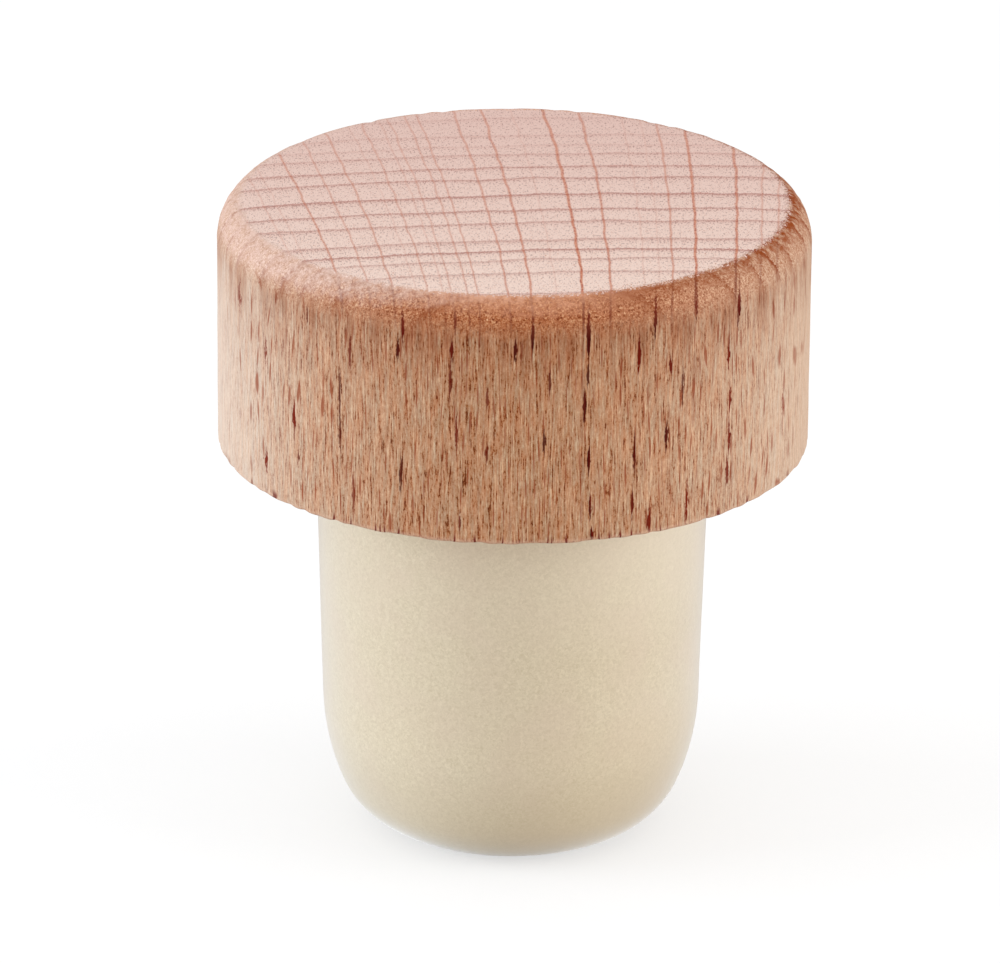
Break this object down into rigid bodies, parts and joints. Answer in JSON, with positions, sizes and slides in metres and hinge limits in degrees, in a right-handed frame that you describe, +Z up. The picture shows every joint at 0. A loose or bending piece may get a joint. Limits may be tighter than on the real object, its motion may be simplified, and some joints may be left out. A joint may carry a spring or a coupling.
{
  "type": "bottle stopper",
  "caption": "Bottle stopper: a round turned wooden head with a rounded top edge, glued to a tapered synthetic-cork shank with a blunt nose.",
  "frame": {"origin": "centre of the shank's flat end, on the surface that the stopper stands on", "axes": "+Z up along the axis of turning, from the shank's flat end to the head's flat top; the part is round about it"},
  "size_m": [0.03, 0.03, 0.0336],
  "materials": {
    "beech": "turned, fine sanded and left unfinished",
    "synthetic_cork": "moulded foam with a matte, faintly mottled skin"
  },
  "bodies": {
    "root": {"head": "beech", "shank": "synthetic_cork"}
  },
  "joints": []
}
